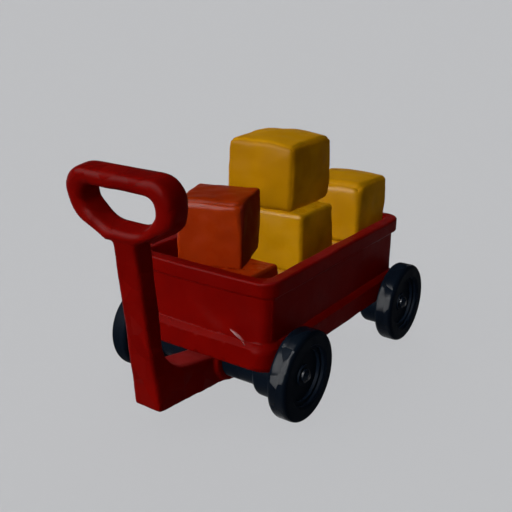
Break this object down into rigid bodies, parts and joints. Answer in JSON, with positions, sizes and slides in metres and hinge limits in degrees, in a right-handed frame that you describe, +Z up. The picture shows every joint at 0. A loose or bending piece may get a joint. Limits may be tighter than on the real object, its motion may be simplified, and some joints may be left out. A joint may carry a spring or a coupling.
{
  "type": "toy pull wagon loaded with blocks",
  "caption": "Toy pull wagon with an open tub tray, looped pull handle hinged on the front axle, plain wheels on steel axles and a load of rounded play blocks.",
  "frame": {"origin": "on the floor, midway along the wagon with its handle upright, and midway across", "axes": "+X to the right of someone who looks from the handle to the rear, +Y to the rear, +Z up; the handle is at -Y"},
  "size_m": [0.2374, 0.4478, 0.28],
  "materials": {
    "red_plastic": "glossy moulded red plastic with softened edges",
    "navy_plastic": "semi-gloss moulded dark navy plastic",
    "tyre_plastic": "semi-gloss moulded near-black navy plastic",
    "wheel_plastic": "satin moulded navy plastic",
    "steel": "drawn steel rod",
    "red_block_plastic": "satin moulded orange-red plastic",
    "yellow_block_plastic": "satin moulded yellow plastic"
  },
  "bodies": {
    "wagon": {"tray": "red_plastic", "chassis_spine": "navy_plastic", "front_axle_bracket_left": "navy_plastic", "front_axle_bracket_right": "navy_plastic", "rear_axle_bracket": "navy_plastic", "front_axle_rod": "steel", "rear_axle_rod": "steel", "front_left_axle_cap": "wheel_plastic", "front_right_axle_cap": "wheel_plastic", "rear_left_axle_cap": "wheel_plastic", "rear_right_axle_cap": "wheel_plastic", "red_block_lower": "red_block_plastic", "red_block_upper": "red_block_plastic", "yellow_block_hidden_front": "yellow_block_plastic", "yellow_block_hidden_back": "yellow_block_plastic", "yellow_block_middle": "yellow_block_plastic", "yellow_block_back": "yellow_block_plastic", "yellow_block_top": "yellow_block_plastic"},
    "handle": {"handle": "red_plastic"},
    "front_left_wheel": {"front_left_tyre": "tyre_plastic", "front_left_wheel_disc": "wheel_plastic"},
    "front_right_wheel": {"front_right_tyre": "tyre_plastic", "front_right_wheel_disc": "wheel_plastic"},
    "rear_left_wheel": {"rear_left_tyre": "tyre_plastic", "rear_left_wheel_disc": "wheel_plastic"},
    "rear_right_wheel": {"rear_right_tyre": "tyre_plastic", "rear_right_wheel_disc": "wheel_plastic"}
  },
  "joints": [
    {"name": "handle_tilt", "type": "hinge", "parent": "wagon", "child": "handle", "pos_m": [0, -0.07082, 0.05], "axis": [1, 0, 0], "range_deg": [-2, 13]},
    {"name": "front_left_spin", "type": "hinge", "parent": "wagon", "child": "front_left_wheel", "pos_m": [-0.1073, -0.07082, 0.05], "axis": [1, 0, 0], "continuous": true},
    {"name": "front_right_spin", "type": "hinge", "parent": "wagon", "child": "front_right_wheel", "pos_m": [0.1073, -0.07082, 0.05], "axis": [1, 0, 0], "continuous": true},
    {"name": "rear_left_spin", "type": "hinge", "parent": "wagon", "child": "rear_left_wheel", "pos_m": [-0.1073, 0.17388, 0.05], "axis": [1, 0, 0], "continuous": true},
    {"name": "rear_right_spin", "type": "hinge", "parent": "wagon", "child": "rear_right_wheel", "pos_m": [0.1073, 0.17388, 0.05], "axis": [1, 0, 0], "continuous": true}
  ]
}
